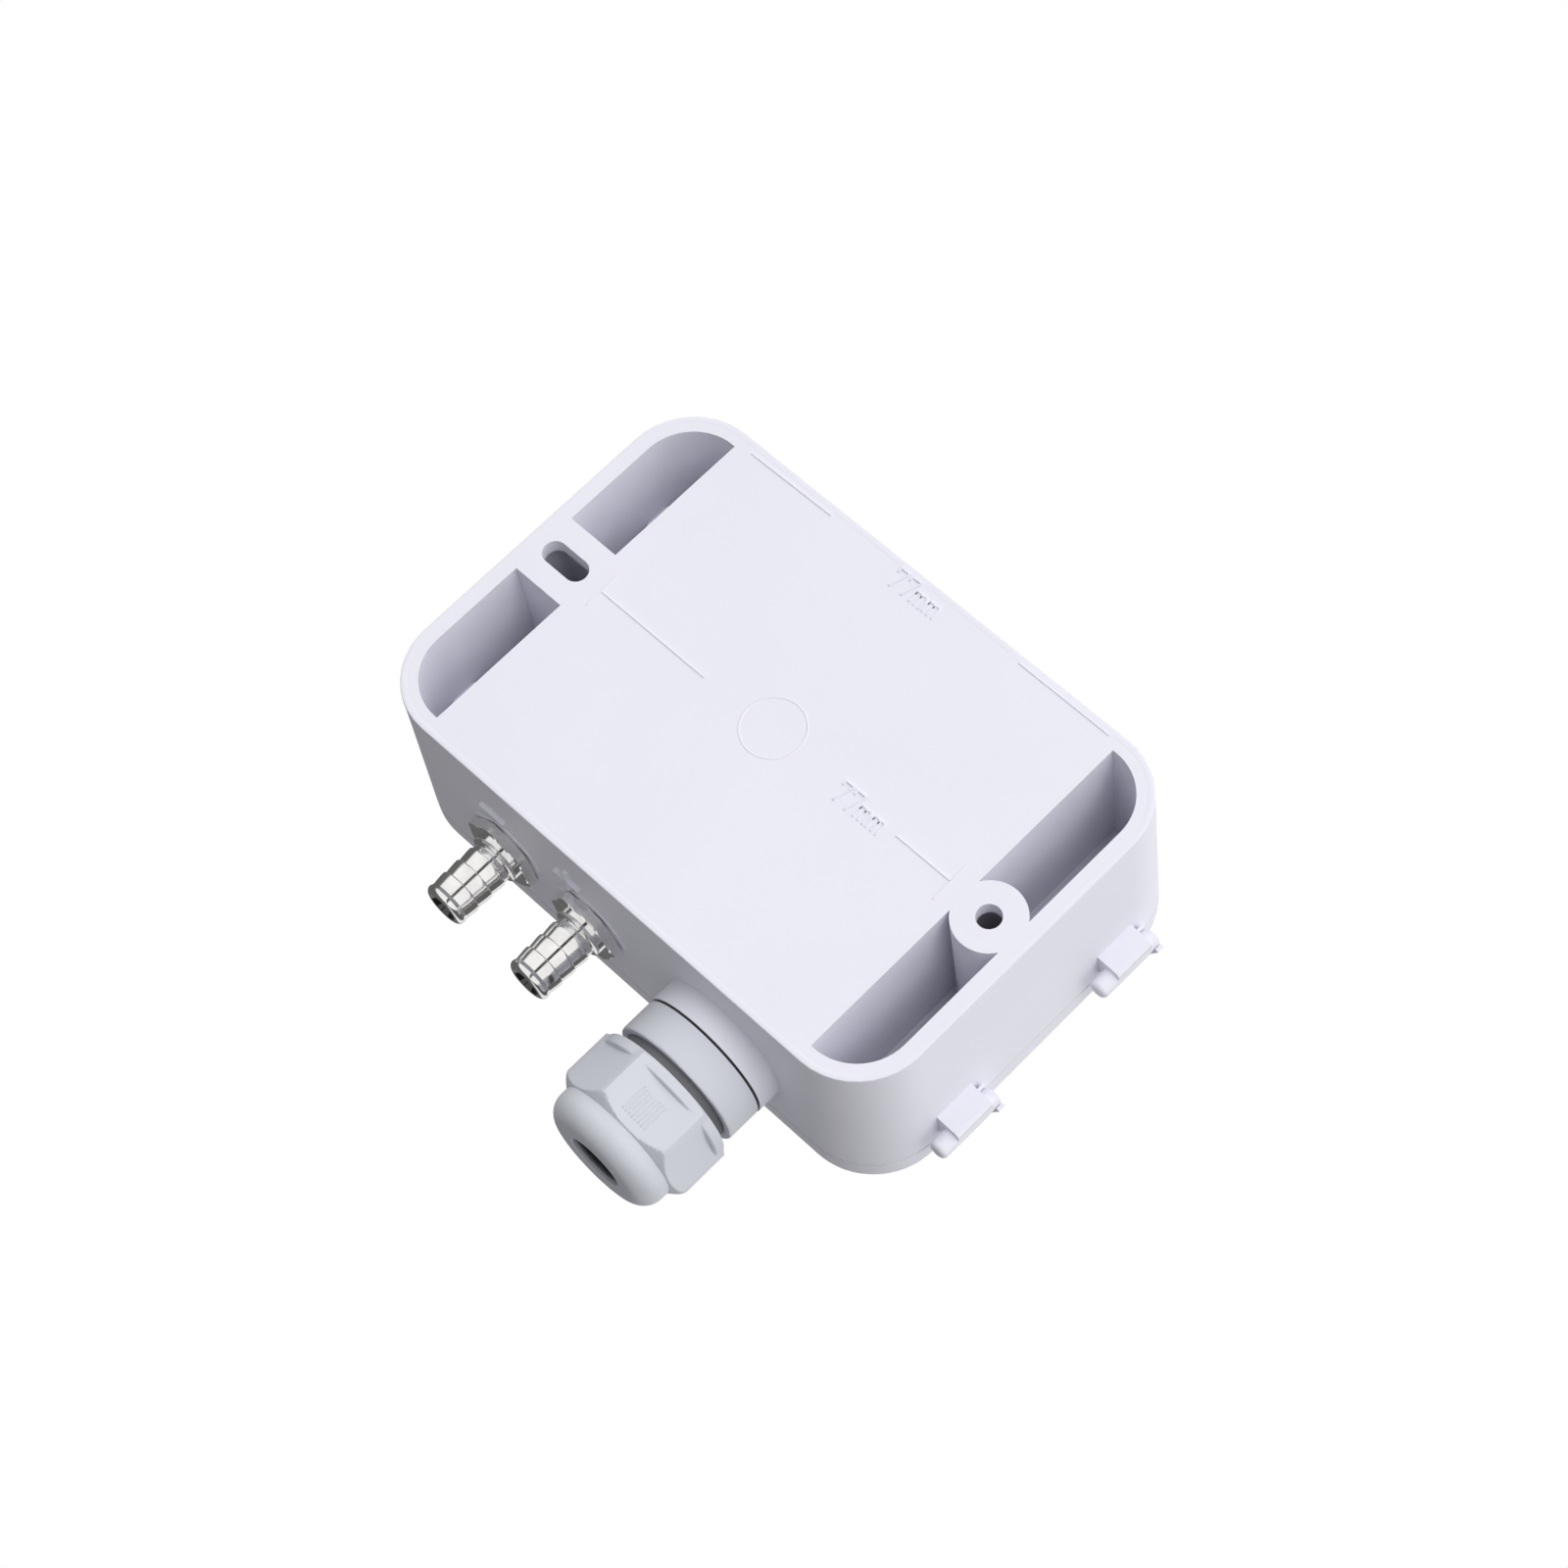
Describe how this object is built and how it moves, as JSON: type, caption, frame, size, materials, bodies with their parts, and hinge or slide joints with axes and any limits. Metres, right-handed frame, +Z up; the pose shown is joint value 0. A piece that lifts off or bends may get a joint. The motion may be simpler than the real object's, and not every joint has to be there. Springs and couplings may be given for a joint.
{
  "type": "differential pressure transmitter",
  "caption": "Wall-mounted differential pressure transmitter: flat moulded housing, hinged and screwed lid, barbed pressure ports and cable gland on the lower side, circuit board inside.",
  "frame": {"origin": "midpoint between the two mounting holes, on the flat back face that rests on the wall", "axes": "+Z up the wall, away from the ports and the gland; +Y into the wall, out of the back face; +X along the housing from the hinge end to the slotted hole"},
  "size_m": [0.0953, 0.032, 0.0841],
  "materials": {
    "housing_plastic": "light grey ABS with a faint lilac tint, satin moulded",
    "gland_plastic": "light bluish-grey polyamide, satin",
    "nickel_brass": "nickel-plated, bright",
    "screw_steel": "zinc-plated",
    "seal_rubber": "matt",
    "black_plastic": "satin",
    "white_plastic": "satin",
    "green_plastic": "satin",
    "blue_plastic": "satin",
    "orange_plastic": "satin",
    "board_laminate": "green solder mask over glass-fibre laminate",
    "silicone": "translucent, soft",
    "green_lens": "clear tinted",
    "capacitor_can": "bright can"
  },
  "bodies": {
    "housing": {"base_housing": "housing_plastic", "port_plus": "nickel_brass", "port_minus": "nickel_brass", "port_oring_plus": "seal_rubber", "port_oring_minus": "seal_rubber", "port_nut_plus": "nickel_brass", "port_nut_minus": "nickel_brass", "gland_body": "gland_plastic", "gland_washer": "seal_rubber", "gland_seal": "seal_rubber", "circuit_board": "board_laminate", "board_screws": "screw_steel", "pressure_sensor": "white_plastic", "hose_plus": "silicone", "hose_minus": "silicone", "terminal_block": "green_plastic", "terminal_screws": "screw_steel", "zero_switch": "black_plastic", "dip_switch": "blue_plastic", "status_led": "green_lens", "capacitor": "capacitor_can", "signal_chip": "black_plastic", "regulator": "black_plastic"},
    "lid": {"lid": "housing_plastic", "lid_seal": "seal_rubber"},
    "lid_screw_upper": {"lid_screw_upper": "screw_steel", "screw_ring_upper": "black_plastic"},
    "lid_screw_lower": {"lid_screw_lower": "screw_steel", "screw_ring_lower": "black_plastic"},
    "dome_nut": {"dome_nut": "gland_plastic"},
    "zero_button": {"zero_button": "orange_plastic"},
    "dip_slider_1": {"dip_slider_1": "white_plastic"},
    "dip_slider_2": {"dip_slider_2": "white_plastic"}
  },
  "joints": [
    {"name": "lid_hinge", "type": "hinge", "parent": "housing", "child": "lid", "pos_m": [-0.04781, -0.0245, 0], "axis": [0, 0, -1], "range_deg": [0, 180]},
    {"name": "lid_screw_upper_turn", "type": "hinge", "parent": "lid", "child": "lid_screw_upper", "pos_m": [0.0385, -0.031, 0.0185], "axis": [0, 1, 0], "range_deg": [0, 90]},
    {"name": "lid_screw_lower_turn", "type": "hinge", "parent": "lid", "child": "lid_screw_lower", "pos_m": [0.0385, -0.031, -0.0185], "axis": [0, 1, 0], "range_deg": [0, 90]},
    {"name": "dome_nut_turn", "type": "hinge", "parent": "housing", "child": "dome_nut", "pos_m": [-0.0192, -0.0167, -0.046], "axis": [0, 0, 1], "range_deg": [0, 360]},
    {"name": "zero_button_press", "type": "slide", "parent": "housing", "child": "zero_button", "axis": [0, 1, 0], "range_m": [0, 0.0006], "stiffness_N_per_m": 500, "springref_m": -0.001},
    {"name": "dip_slider_1_slide", "type": "slide", "parent": "housing", "child": "dip_slider_1", "axis": [0, 0, 1], "range_m": [0, 0.0014]},
    {"name": "dip_slider_2_slide", "type": "slide", "parent": "housing", "child": "dip_slider_2", "axis": [0, 0, 1], "range_m": [0, 0.0014]}
  ]
}
